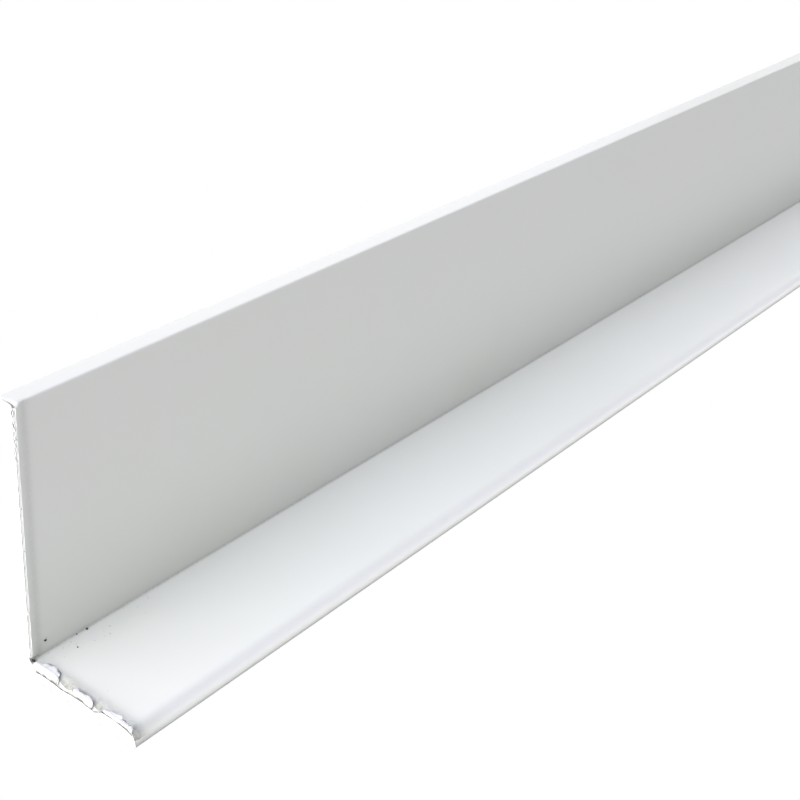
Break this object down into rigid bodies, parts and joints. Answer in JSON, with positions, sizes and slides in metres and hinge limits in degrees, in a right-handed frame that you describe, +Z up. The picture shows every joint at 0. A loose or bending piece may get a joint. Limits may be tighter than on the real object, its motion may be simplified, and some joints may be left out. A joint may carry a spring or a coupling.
{
  "type": "door sweep",
  "caption": "White L-angle door sweep: a tall leg stuck to the door by foam tape under peel-off liners, with a short foot leg along its bottom edge.",
  "frame": {"origin": "middle of the underside along the length, centred in depth between the foot's front edge and the outermost liner", "axes": "+X along the sweep, +Y towards the door that the tall leg is stuck to, +Z up along the tall leg"},
  "size_m": [0.914, 0.0282, 0.05],
  "materials": {
    "white_pvc": "satin extruded rigid PVC, sawn at both ends",
    "foam_tape": "fine closed-cell foam with tacky adhesive faces",
    "release_liner": "coated kraft paper, slightly glossy"
  },
  "bodies": {
    "sweep": {"angle_profile": "white_pvc", "foam_tape_upper": "foam_tape", "foam_tape_lower": "foam_tape"},
    "upper_liner": {"release_liner_upper": "release_liner"},
    "lower_liner": {"release_liner_lower": "release_liner"}
  },
  "joints": [
    {"name": "upper_liner_peel", "type": "slide", "parent": "sweep", "child": "upper_liner", "axis": [0, 1, 0], "range_m": [0, 0.05]},
    {"name": "lower_liner_peel", "type": "slide", "parent": "sweep", "child": "lower_liner", "axis": [0, 1, 0], "range_m": [0, 0.05]}
  ]
}
